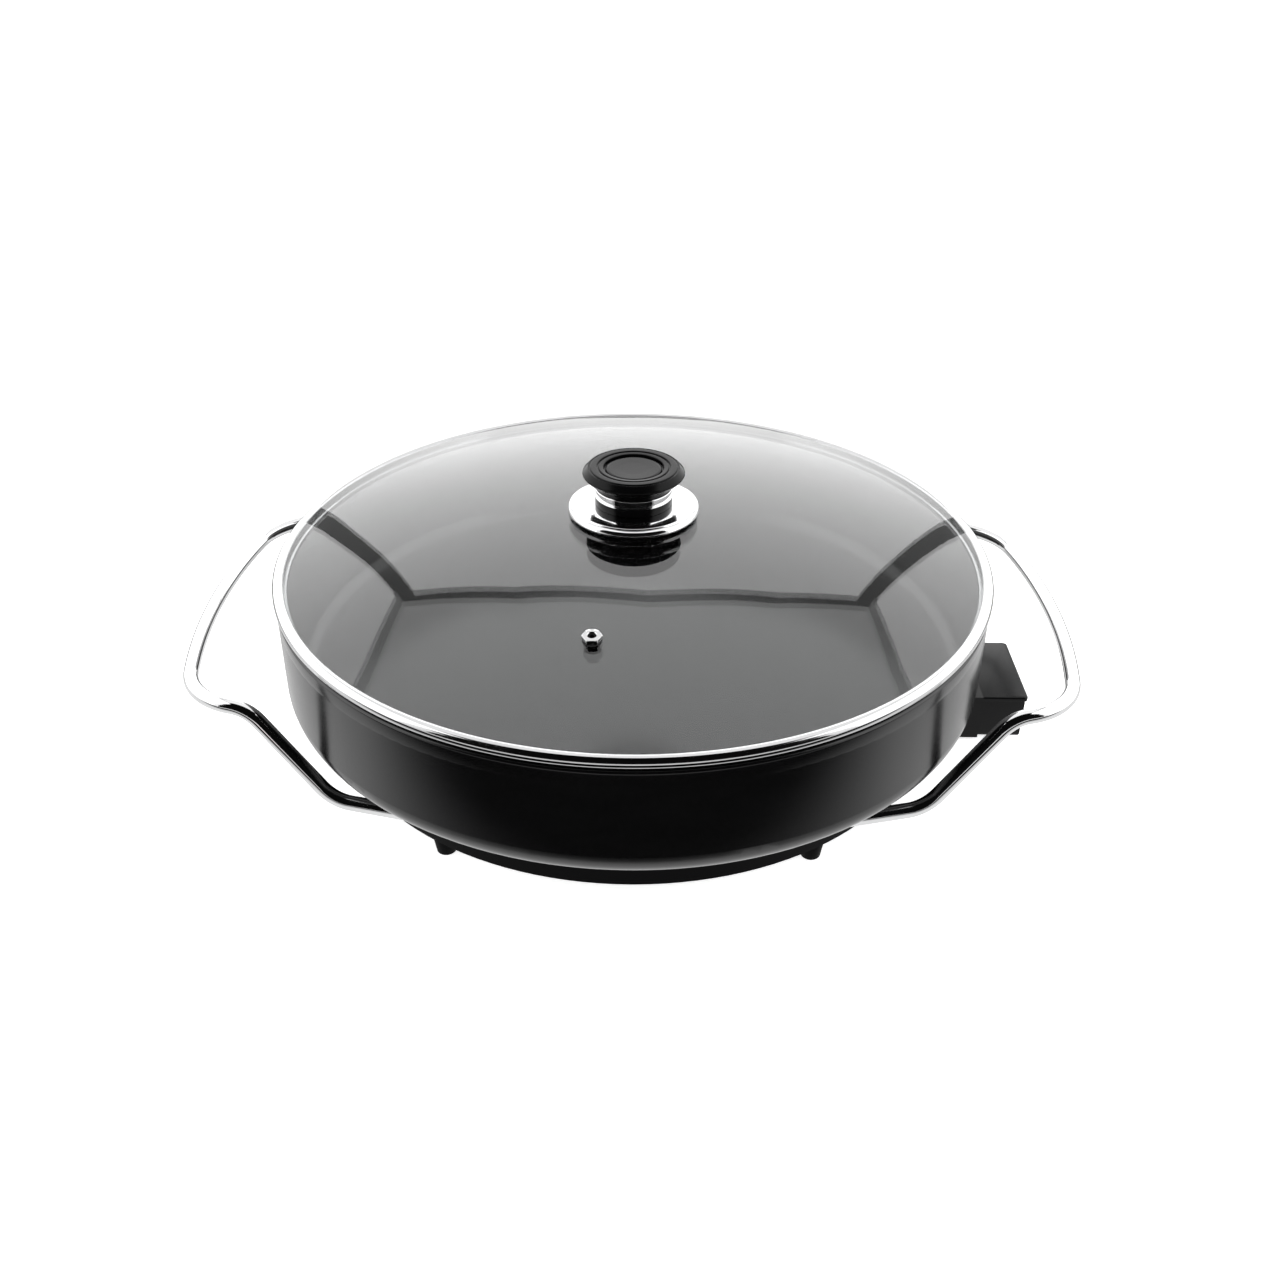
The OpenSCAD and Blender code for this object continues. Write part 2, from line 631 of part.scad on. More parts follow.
module knob_outline() {
  waist_z = collar_z + collar_h;
  under_z = knob_top_z - 8;
  edge_z = knob_top_z - 4;
  polygon([[0, flange_seat_z + fit], [neck_r + 1, flange_seat_z + fit], [neck_r + 0.8, collar_z - fit],
           [neck_r - 1, collar_z - fit], [neck_r - 1, waist_z + fit],
           [neck_r, waist_z + fit], [neck_r + 0.4, under_z - 1.6], [neck_r + 2, under_z - 0.4],
           [knob_r - 1.4, edge_z - 1.6], [knob_r, edge_z], [knob_r - 0.3, edge_z + 0.9],
           [knob_r - 3.2, knob_top_z - 0.3], [knob_r - 3.8, knob_top_z],
           [cap_r + groove_w + 1.2, knob_top_z - 0.2], [cap_r + groove_w, knob_top_z - 1.2], [0, knob_top_z - 1.2]]);
}

module knob_body() color("#19191b") difference() {
  rotate_extrude() knob_outline();
  translate([0, 0, knob_top_z - groove_d - 1.2]) cylinder(r = cap_r + groove_w, h = 5);
  translate([0, 0, cap_z - cap_t - fit]) cylinder(r = cap_r + fit, h = cap_t + 2);
  translate([0, 0, flange_seat_z - 1]) cylinder(r = insert_r + fit, h = insert_h + 1, $fn = 48);
}

module knob_collar() color("#d8d9db") translate([0, 0, collar_z]) difference() {
  cylinder(r = collar_r, h = collar_h);
  translate([0, 0, -1]) cylinder(r = neck_r - 1 + fit, h = collar_h + 2);
}

module knob_cap() color("#19191b") translate([0, 0, cap_z - cap_t]) cylinder(r = cap_r, h = cap_t);

module knob_insert() color("#c8b27a") translate([0, 0, flange_seat_z + fit]) difference() {
  cylinder(r = insert_r, h = insert_h - 2 * fit, $fn = 48);
  translate([0, 0, -1]) cylinder(r = knob_screw_r + fit, h = insert_h - 1, $fn = 48);
}

module knob_washer() color("#b4b5b7") difference() {
  translate([0, 0, apex_z - glass_t - 1.6]) cylinder(r = 11, h = 1.5 - fit, $fn = 64);
  translate([0, 0, apex_z - glass_t - 3]) cylinder(r = knob_screw_r + fit, h = 5, $fn = 48);
}

module knob_screw() color("#a9aaac")
  screw_up(apex_z - glass_t - 1.6 - fit, flange_seat_z + insert_h - 3, knob_screw_r, 6, 3);

pan_body();
heating_element();
heat_shield();
shield_screws();
base_ring();
ring_screws();
foot_front_left();
foot_front_right();
foot_rear_left();
foot_rear_right();
foot_screws();
handle_left();
handle_right();
inlet_base();
inlet_shroud();
inlet_screws();
shroud_screws();
terminal_block();
terminal_pin_left();
terminal_pin_right();
terminal_links();
probe_tube();
earth_strip();
earth_screw();
lid_glass();
lid_rim();
glass_seal();
vent_nut();
vent_eyelet();
vent_washer();
knob_flange();
knob_collar();
knob_body();
knob_cap();
knob_insert();
knob_screw();
knob_washer();
flange_gasket();
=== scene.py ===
"""Finished look of a round electric party pan with a domed glass lid, wire handles and a plug-in inlet.

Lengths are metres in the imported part's own frame: Z up from the standing surface, the pan's axis on Z,
the inlet towards +X and the front towards -Y. Sizes that follow the part are read from its nodes' boxes.
"""

import math

import bmesh
import bpy
from bpy.props import FloatProperty, FloatVectorProperty, IntProperty, PointerProperty
from mathutils import Matrix, Vector


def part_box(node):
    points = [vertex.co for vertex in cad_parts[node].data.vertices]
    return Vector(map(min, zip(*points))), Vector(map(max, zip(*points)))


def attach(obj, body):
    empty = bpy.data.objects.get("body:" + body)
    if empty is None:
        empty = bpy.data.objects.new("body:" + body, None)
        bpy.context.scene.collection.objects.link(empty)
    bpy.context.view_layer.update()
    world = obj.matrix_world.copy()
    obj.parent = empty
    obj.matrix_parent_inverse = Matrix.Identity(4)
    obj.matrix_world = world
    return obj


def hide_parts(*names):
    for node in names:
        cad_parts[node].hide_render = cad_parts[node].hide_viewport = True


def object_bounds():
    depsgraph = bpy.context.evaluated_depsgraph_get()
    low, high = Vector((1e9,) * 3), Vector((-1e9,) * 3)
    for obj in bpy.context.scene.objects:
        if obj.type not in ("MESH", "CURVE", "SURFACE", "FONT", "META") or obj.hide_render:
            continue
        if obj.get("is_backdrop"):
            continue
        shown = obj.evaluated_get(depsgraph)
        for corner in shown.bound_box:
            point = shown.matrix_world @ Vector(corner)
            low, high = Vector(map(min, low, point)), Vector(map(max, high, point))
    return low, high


bl_info = {
    "name": "Party Pan",
    "version": (1, 0, 0),
    "blender": (4, 5, 0),
    "location": "3D View > Sidebar > Party Pan",
    "description": "Builds the finished pieces, materials and studio around the packed party pan",
    "category": "Object",
}

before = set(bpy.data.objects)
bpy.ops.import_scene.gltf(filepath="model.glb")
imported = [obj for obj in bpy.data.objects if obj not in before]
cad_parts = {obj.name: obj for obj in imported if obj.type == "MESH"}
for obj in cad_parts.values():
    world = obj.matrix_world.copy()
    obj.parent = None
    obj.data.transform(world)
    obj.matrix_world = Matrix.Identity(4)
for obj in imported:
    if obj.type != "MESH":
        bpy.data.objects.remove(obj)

MM = 0.001
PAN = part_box("pan_body")
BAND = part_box("lid_rim")
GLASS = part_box("lid_glass")
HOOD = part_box("inlet_shroud")
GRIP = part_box("handle_right")
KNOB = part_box("knob_body")
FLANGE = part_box("knob_flange")
TURN = 2 * math.pi


# ---------------------------------------------------------------- sizes and colours


def length(name, text, default, low, high):
    """A length setting in metres."""
    return FloatProperty(
        name=name, description=text, default=default, min=low, max=high,
        precision=5, subtype="DISTANCE", unit="LENGTH",
    )


def factor(name, text, default, low=0.0, high=1.0):
    """A setting without a unit."""
    return FloatProperty(
        name=name, description=text, default=default, min=low, max=high, precision=3, subtype="FACTOR"
    )


def tint(name, text, default):
    """A colour setting."""
    return FloatVectorProperty(
        name=name, description=text, default=default, min=0.0, max=1.0, size=3, subtype="COLOR"
    )


class PanSettings(bpy.types.PropertyGroup):
    """The coated pan, its plastic ring and its feet."""

    coating: tint("Coating", "Colour of the pan's coating", (0.0011, 0.0011, 0.0012))
    coating_rough: factor("Coating roughness", "Roughness of the pan's coating", 0.18)
    lip_wall: length("Lip wall", "Thickness of the pan's wall at its rim", 0.0035, 0.0025, 0.005)
    lip_skin: length("Lip skin", "Thickness of the coating's lip over the rim", 0.00006, 0.00002, 0.0002)
    ring_colour: tint("Ring colour", "Colour of the base ring's plastic", (0.0005, 0.0005, 0.0006))
    foot_radius: length("Foot radius", "Radius of a foot where it stands", 0.0053, 0.003, 0.0066)
    foot_edge: length("Foot edge", "Rounding of a foot's lower edge", 0.0008, 0.0002, 0.0015)


class HandleSettings(bpy.types.PropertyGroup):
    """The two bent wire handles."""

    wire_radius: length("Wire radius", "Radius of the handle wire", 0.00425, 0.003, 0.005)
    corner_radius: length("Corner radius", "Radius of the grip's corners", 0.042, 0.036, 0.044)
    knee_radius: length("Knee radius", "Bend radius at a leg's top", 0.020, 0.012, 0.024)
    heel_radius: length("Heel radius", "Bend radius at a leg's foot", 0.022, 0.014, 0.026)
    knee_out: length("Knee distance", "Distance from the wall to where a leg dips", 0.007, 0.004, 0.012)
    spread: length("Leg spread", "Distance along Y from a leg's knee out to its foot", 0.0284, 0.024, 0.033)
    slope: FloatProperty(
        name="Leg slope", description="Slope of a leg below the horizontal", default=math.radians(50),
        min=math.radians(45), max=math.radians(60), subtype="ANGLE", unit="ROTATION",
    )
    chrome: tint("Chrome", "Colour of the handles' plating", (0.73, 0.73, 0.735))
    sides: IntProperty(name="Sides", description="Sides around the wire", default=40, min=16, max=96)


class InletSettings(bpy.types.PropertyGroup):
    """The two shells of the inlet housing."""

    lip: length("Lip", "Distance that the top plate stands out past the shell", 0.0012, 0.0005, 0.002)
    wall: length("Wall", "Thickness of the shell's wall", 0.0025, 0.002, 0.003)
    plate: length("Plate", "Thickness of the top plate", 0.003, 0.002, 0.004)
    edge: length("Edge rounding", "Rounding of the housing's edges", 0.0009, 0.0003, 0.0015)
    corner: length("Corner rounding", "Rounding of the housing's upright corners", 0.0026, 0.001, 0.005)
    colour: tint("Colour", "Colour of the housing's plastic", (0.0010, 0.0010, 0.0011))


class LidSettings(bpy.types.PropertyGroup):
    """The lid's rim band, its glass and its steam vent."""

    bead_radius: length("Bead radius", "Radius of the band's rounded edge", 0.0035, 0.003, 0.004)
    skirt_radius: length("Skirt radius", "Outer radius of the band's skirt inside the pan", 0.201, 0.17, 0.23)
    sheet: length("Sheet", "Thickness of the band's sheet", 0.001, 0.0005, 0.0015)
    glass_tint: tint("Glass tint", "Colour that the glass lets through", (0.88, 0.885, 0.885))
    steel: tint("Steel", "Colour of the band and the vent", (0.62, 0.62, 0.625))
    steps: IntProperty(name="Steps", description="Steps around the lid", default=288, min=96, max=512)


class KnobSettings(bpy.types.PropertyGroup):
    """The lid's knob and its chrome base."""

    colour: tint("Colour", "Colour of the knob's plastic", (0.0010, 0.0010, 0.0011))
    chrome: tint("Chrome", "Colour of the base's plating", (0.80, 0.80, 0.805))
    ring_proud: length("Ring step", "How far the chrome ring stands out", 0.0007, 0.0003, 0.0015)
    bore: length("Bore", "Radius of the hollow for the threaded insert", 0.00505, 0.004, 0.006)
    bore_depth: length("Bore depth", "Depth of the hollow for the threaded insert", 0.012, 0.006, 0.015)
    screw_hole: length("Screw hole", "Radius of the screw's hole in the chrome base", 0.00305, 0.002, 0.004)
    sheet: length("Sheet", "Thickness of the chrome base's sheet", 0.0012, 0.0008, 0.002)
    groove: length("Groove width", "Width of the groove round the knob's cap", 0.0014, 0.0005, 0.003)
    steps: IntProperty(name="Steps", description="Steps around the knob", default=144, min=48, max=256)


class StageSettings(bpy.types.PropertyGroup):
    """Floor, soft boxes, sheets seen only in reflections that paint dark cards, dark seams and bright edges
    into them as painted reflections, and camera.
    """

    floor: tint("Floor", "Colour of the floor", (0.86, 0.86, 0.86))
    ceiling: factor("Ceiling light", "Strength of the light from above and all round", 1.25, 0.0, 10.0)
    walls: factor("Wall light", "Strength of the soft boxes behind and at the sides", 2.1, 0.0, 10.0)
    # the seams and the boxes' upper edges are sheets seen only in reflections: painted dark and bright lines
    # in reflections
    seam_light: factor("Seam light", "Brightness of the dark seams between the soft boxes", 0.26, 0.0, 2.0)
    edge_light: factor("Edge light", "Brightness of the side boxes' upper edges", 0.75, 0.0, 2.0)
    lift: factor("Floor lift", "Glow added to the floor so that shadows stay faint", 0.75, 0.0, 2.0)
    # strength of the painted floor reflection, on the sheet seen only in reflections
    floor_glow: factor("Floor glow", "Brightness of the floor in reflections", 1.0, 0.0, 4.0)
    # the dark card overhead is a sheet seen only in reflections: painted dark reflection
    overhead: FloatProperty(
        name="Overhead edge", description="How far back the dark card overhead reaches",
        default=-0.10, min=-1.5, max=0.5, subtype="DISTANCE", unit="LENGTH",
    )
    lens: FloatProperty(
        name="Lens", description="Focal length of the camera", default=38.14, min=20, max=120,
        subtype="DISTANCE_CAMERA",
    )


GROUPS = {
    "party_pan": PanSettings,
    "party_handles": HandleSettings,
    "party_inlet": InletSettings,
    "party_lid": LidSettings,
    "party_knob": KnobSettings,
    "party_stage": StageSettings,
}


# ---------------------------------------------------------------- shaders


class Wire:
    """A socket whose arithmetic adds Math nodes to its tree."""

    def __init__(self, shader, socket):
        self.shader = shader
        self.socket = socket

    def _math(self, operation, *values):
        node = self.shader.add("ShaderNodeMath", {"operation": operation}, dict(enumerate(values)))
        return self.shader.out(node)

    def __add__(self, other):
        return self._math("ADD", self, other)

    def __radd__(self, other):
        return self._math("ADD", other, self)

    def __sub__(self, other):
        return self._math("SUBTRACT", self, other)

    def __mul__(self, other):
        return self._math("MULTIPLY", self, other)

    def __rmul__(self, other):
        return self._math("MULTIPLY", other, self)

    def __pow__(self, other):
        return self._math("POWER", self, other)


class Shader:
    """A new material whose nodes are added by name."""

    def __init__(self, name):
        self.material = bpy.data.materials.new(name)
        self.material.use_nodes = True
        self.tree = self.material.node_tree
        self.tree.nodes.clear()
        self.place = self.out(self.add("ShaderNodeTexCoord"), "Object")

    def add(self, kind, settings=None, values=None):
        """Adds a node of this type, sets its settings, then gives its sockets values or links."""
        node = self.tree.nodes.new(kind)
        for key, value in (settings or {}).items():
            setattr(node, key, value)
        for key, value in (values or {}).items():
            if isinstance(value, Wire):
                self.tree.links.new(value.socket, node.inputs[key])
            else:
                node.inputs[key].default_value = value
        return node

    def out(self, node, name=0):
        return Wire(self, node.outputs[name])

    def noise(self, scale, detail=2.0, rough=0.5, stretch=None):
        """Noise from 0 to 1, with scale in waves a metre, drawn out along an axis where stretch says."""
        place = self.place
        if stretch:
            place = self.out(self.add("ShaderNodeMapping", None, {"Vector": place, "Scale": stretch}))
        node = self.add(
            "ShaderNodeTexNoise", {"noise_dimensions": "3D"},
            {"Vector": place, "Scale": scale, "Detail": detail, "Roughness": rough},
        )
        return self.out(node, "Fac")

    def fade(self, value, low, high, start=0.0, end=1.0):
        """value taken smoothly from the range low..high to the range start..end."""
        node = self.add(
            "ShaderNodeMapRange", {"interpolation_type": "SMOOTHSTEP"},
            {"Value": value, "From Min": low, "From Max": high, "To Min": start, "To Max": end},
        )
        return self.out(node)

    def blend(self, share, first, second):
        """A colour between two colours."""
        def colour(c):
            return c if isinstance(c, Wire) else (*c, 1.0)

        node = self.add(
            "ShaderNodeMix", {"data_type": "RGBA"}, {"Factor": share, 6: colour(first), 7: colour(second)}
        )
        return self.out(node, 2)

    def bump(self, height, distance):
        """A normal bent by a height from 0 to 1 that stands for this distance in metres."""
        node = self.add("ShaderNodeBump", None, {"Height": height, "Distance": distance, "Strength": 1.0})
        return self.out(node)

    def surface(self, values):
        """A Principled node with these sockets, as the material's surface."""
        node = self.add("ShaderNodeBsdfPrincipled", None, values)
        self.add("ShaderNodeOutputMaterial", None, {"Surface": self.out(node)})
        return self.material

    def wear(self):
        """A share that rises where the surface has an outer edge."""
        point = self.out(self.add("ShaderNodeNewGeometry"), "Pointiness")
        return self.fade(point, 0.51, 0.62)


def shade(colour, by):
    """A colour made lighter or darker by this factor."""
    return tuple(min(1.0, c * by) for c in colour)


def coating(name, colour, rough):
    """Baked-on release coating: a hard satin film with orange peel, fine specks and faint wiping marks."""
    s = Shader(name)
    peel = s.noise(330.0, 2.0)
    speck = s.fade(s.noise(2600.0, 1.0), 0.60, 0.74)
    wipe = s.noise(24.0, 4.0, 0.6, (1.0, 1.0, 3.0))
    base = s.blend(speck * 0.6 + wipe * 0.25, colour, shade(colour, 3.2))
    return s.surface({
        "Base Color": base,
        "Roughness": rough - 0.03 + 0.07 * wipe + 0.05 * speck,
        "Specular IOR Level": 0.5,
        "Normal": s.bump(peel + 0.25 * speck, 0.0000015),
    })


def plastic(name, colour, rough=0.38, grain=1500.0, depth=0.00003, gloss=0.5):
    """Moulded phenolic or nylon with a fine even grain, paler on its worn edges."""
    s = Shader(name)
    fine = s.noise(grain, 2.0)
    cloud = s.noise(45.0, 3.0)
    base = s.blend(0.55 * cloud + 0.3 * s.wear(), colour, shade(colour, 2.4))
    return s.surface({
        "Base Color": base,
        "Roughness": rough + 0.16 * fine + 0.08 * cloud - 0.12,
        "Specular IOR Level": gloss,
        "Normal": s.bump(fine + 0.3 * cloud, depth),
    })


def plating(name, colour, rough=0.05):
    """Bright plating over drawn or pressed metal: nearly a mirror, with handling smears and a soft ripple."""
    s = Shader(name)
    smear = s.fade(s.noise(60.0, 5.0, 0.62), 0.45, 0.80)
    fine = s.noise(900.0, 2.0)
    ripple = s.noise(70.0, 1.0)
    return s.surface({
        "Base Color": s.blend(smear, colour, shade(colour, 0.9)),
        "Metallic": 1.0,
        "Roughness": rough + 0.08 * smear + 0.03 * fine,
        "Normal": s.bump(ripple + 0.04 * fine, 0.00004),
    })


def sheet_metal(name, colour, rough=0.32, grain=(1.0, 30.0, 30.0), stain=None):
    """Plain sheet, wire or turned metal with rolled grain and, where given, a stain from heat."""
    s = Shader(name)
    lines = s.noise(90.0, 3.0, 0.6, grain)
    cloud = s.fade(s.noise(38.0, 4.0), 0.35, 0.75)
    base = s.blend(cloud, colour, stain or shade(colour, 0.72))
    return s.surface({
        "Base Color": base,
        "Metallic": 1.0,
        "Roughness": rough + 0.18 * lines + 0.08 * cloud - 0.1,
        "Normal": s.bump(lines, 0.00002),
    })


def soft_rubber(name, colour):
    """Silicone with a dull skin and dust in its pores."""
    s = Shader(name)
    pores = s.noise(1900.0, 3.0)
    dust = s.fade(s.noise(140.0, 4.0), 0.5, 0.8)
    return s.surface({
        "Base Color": s.blend(dust, colour, shade(colour, 2.0)),
        "Roughness": 0.62 + 0.2 * pores,
        "Normal": s.bump(pores, 0.00003),
    })


def ceramic(name, colour):
    """Unglazed insulator with a chalky grain and scattered grey specks."""
    s = Shader(name)
    chalk = s.noise(1200.0, 4.0)
    speck = s.fade(s.noise(700.0, 1.0), 0.66, 0.72)
    return s.surface({
        "Base Color": s.blend(0.35 * chalk + 0.5 * speck, colour, shade(colour, 0.6)),
        "Roughness": 0.66 + 0.2 * chalk,
        "Normal": s.bump(chalk, 0.00004),
    })


def toughened_glass(name, colour):
    """Toughened glass: clear, with the slow ripple and roller haze of its heat treatment."""
    s = Shader(name)
    facing = s.out(s.add("ShaderNodeLayerWeight", None, {"Blend": 0.5}), "Facing")
    mirror = 0.04 + 0.37 * facing ** 3.0 + 0.59 * facing ** 8.0
    ripple = s.noise(7.0, 1.0, 0.4)
    haze = s.noise(70.0, 4.0)
    dust = s.fade(s.noise(1700.0, 1.0), 0.72, 0.80)
    gloss = s.add("ShaderNodeBsdfPrincipled", None, {
        "Base Color": s.blend(dust, (0.98, 0.98, 0.98), (0.87, 0.87, 0.87)),
        "Metallic": 1.0,
        "Roughness": 0.012 + 0.02 * haze,
        "Normal": s.bump(ripple, 0.0007),
    })
    clear = s.add("ShaderNodeBsdfTransparent", None, {"Color": (*colour, 1.0)})
    both = s.add(
        "ShaderNodeMixShader", None, {0: mirror + 0.02 * dust, 1: s.out(clear), 2: s.out(gloss)}
    )
    s.add("ShaderNodeOutputMaterial", None, {"Surface": s.out(both)})
    return s.material


def finishes(scene):
    """One material for each of the part's finishes, made once."""
    pan, inlet = scene.party_pan, scene.party_inlet
    lid, knob, handles = scene.party_lid, scene.party_knob, scene.party_handles
    makers = {
        "nonstick": lambda n: coating(n, pan.coating, pan.coating_rough),
        "ring_plastic": lambda n: plastic(n, pan.ring_colour, 0.42, gloss=0.03),
        "foot_plastic": lambda n: plastic(n, shade(pan.ring_colour, 0.9), 0.5, 900.0, gloss=0.04),
        "inlet_plastic": lambda n: plastic(n, inlet.colour, 0.22, 1300.0, 0.00001, 0.16),
        "knob_plastic": lambda n: plastic(n, knob.colour, 0.20, 1100.0, 0.00001, 0.12),
        "handle_chrome": lambda n: plating(n, handles.chrome, 0.04),
        "knob_chrome": lambda n: plating(n, knob.chrome, 0.05),
        "rim_steel": lambda n: plating(n, lid.steel, 0.07),
        "heater_steel": lambda n: sheet_metal(
            n, (0.32, 0.29, 0.26), 0.42, (4.0, 4.0, 4.0), (0.16, 0.12, 0.11)
        ),
        "shield_metal": lambda n: sheet_metal(n, (0.62, 0.63, 0.64), 0.36),
        "fastener_steel": lambda n: sheet_metal(n, (0.52, 0.52, 0.50), 0.34, (8.0, 8.0, 8.0)),
        "pin_metal": lambda n: sheet_metal(n, (0.72, 0.72, 0.71), 0.26),
        "link_brass": lambda n: sheet_metal(
            n, (0.62, 0.47, 0.20), 0.30, (1.0, 20.0, 20.0), (0.40, 0.27, 0.11)
        ),
        "seal_rubber": lambda n: soft_rubber(n, (0.016, 0.016, 0.017)),
        "block_plastic": lambda n: ceramic(n, (0.56, 0.53, 0.46)),
        "lid_glass": lambda n: toughened_glass(n, lid.glass_tint),
    }
    return {
        slot: bpy.data.materials.get("finish_" + slot) or make("finish_" + slot)
        for slot, make in makers.items()
    }


# ---------------------------------------------------------------- mesh tools


def piece(bm, name, slot, body, replaces=(), sharp=35.0):
    """Turns a mesh being edited into a finished piece that rides on a body and stands for CAD nodes."""
    bmesh.ops.remove_doubles(bm, verts=bm.verts, dist=0.000002)
    bmesh.ops.recalc_face_normals(bm, faces=bm.faces)
    mesh = bpy.data.meshes.new(name)
    bm.to_mesh(mesh)
    bm.free()
    mesh.polygons.foreach_set("use_smooth", [True] * len(mesh.polygons))
    mesh.set_sharp_from_angle(angle=math.radians(sharp))
    mesh.materials.append(finishes(bpy.context.scene)[slot])
    obj = bpy.data.objects.new(name, mesh)
    bpy.context.scene.collection.objects.link(obj)
    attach(obj, body)
    if replaces:
        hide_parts(*replaces)
    return obj


def rounded(points, steps=6, closed=False):
    """Points of a flat outline whose corners (x, y, radius) are rounded by arcs."""
    result = []
    count = len(points)
    for i, (x, y, radius) in enumerate(points):
        here = Vector((x, y))
        if radius <= 0 or (not closed and i in (0, count - 1)):
            result.append(here)
            continue
        back = Vector(points[i - 1][:2]) - here
        ahead = Vector(points[(i + 1) % count][:2]) - here
        half = back.angle(ahead) / 2
        reach = min(radius / math.tan(half), 0.49 * back.length, 0.49 * ahead.length)
        radius = reach * math.tan(half)
        centre = here + (back.normalized() + ahead.normalized()).normalized() * (radius / math.sin(half))
        start = here + back.normalized() * reach - centre
        end = here + ahead.normalized() * reach - centre
        turn = start.angle_signed(end)
        for k in range(steps + 1):
            a = -turn * k / steps
            result.append(centre + Vector((
                start.x * math.cos(a) - start.y * math.sin(a), start.x * math.sin(a) + start.y * math.cos(a)
            )))
    return result


def lathe(bm, outline, steps, place=None):
    """Spins an outline of (radius, height) points about the Z axis, then puts it in place."""
    made = [bm.verts.new((max(r, 0.0), 0.0, z)) for r, z in outline]
    edges = [bm.edges.new(pair) for pair in zip(made, made[1:])]
    before = set(bm.verts) - set(made)
    bmesh.ops.spin(
        bm, geom=made + edges, cent=(0, 0, 0), axis=(0, 0, 1), dvec=(0, 0, 0),
        angle=TURN, steps=steps, use_merge=True, use_duplicate=False,
    )
    fresh = [v for v in bm.verts if v not in before]
    bmesh.ops.remove_doubles(bm, verts=fresh, dist=0.000002)
    if place:
        fresh = [v for v in bm.verts if v not in before]
        bmesh.ops.transform(bm, matrix=place, verts=fresh)


def turned(name, slot, body, outline, steps, replaces=(), place=None, sharp=35.0):
    """Makes a finished piece by spinning an outline."""
    bm = bmesh.new()
    lathe(bm, outline, steps, place)
    piece(bm, name, slot, body, replaces, sharp)


def loft(bm, loops, ring=False):
    """Joins loops of equally many points, one after another, into a skin, a closed ring or a capped solid."""
    rows = []
    for loop in loops:
        verts = [bm.verts.new(p) for p in loop]
        rows.append([bm.edges.new((verts[i - 1], verts[i])) for i in range(len(verts))])
    pairs = list(zip(rows, rows[1:])) + ([(rows[-1], rows[0])] if ring else [])
    for first, second in pairs:
        bmesh.ops.bridge_loops(bm, edges=first + second)
    if not ring:
        for row in (rows[0], rows[-1]):
            bmesh.ops.contextual_create(bm, geom=row)


def arc(centre, radius, start, end, steps):
    """Points of an arc in plan, from one angle to another in radians."""
    return [
        Vector((centre[0] + radius * math.cos(start + (end - start) * k / steps),
                centre[1] + radius * math.sin(start + (end - start) * k / steps)))
        for k in range(steps + 1)
    ]


# ---------------------------------------------------------------- operators


class PARTY_OT_finishes(bpy.types.Operator):
    """Give every carried-over node its finished material"""

    bl_idname = "party.finishes"
    bl_label = "Finish carried-over nodes"

    def execute(self, context):
        made = finishes(context.scene)
        for name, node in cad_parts.items():
            for slot in node.material_slots:
                key = slot.material.name.split(".")[0] if slot.material else ""
                if key in made:
                    slot.material = made[key]
                elif not key.startswith("finish_"):
                    raise RuntimeError(f"node {name} has a material with no finish: {key}")
        return {"FINISHED"}


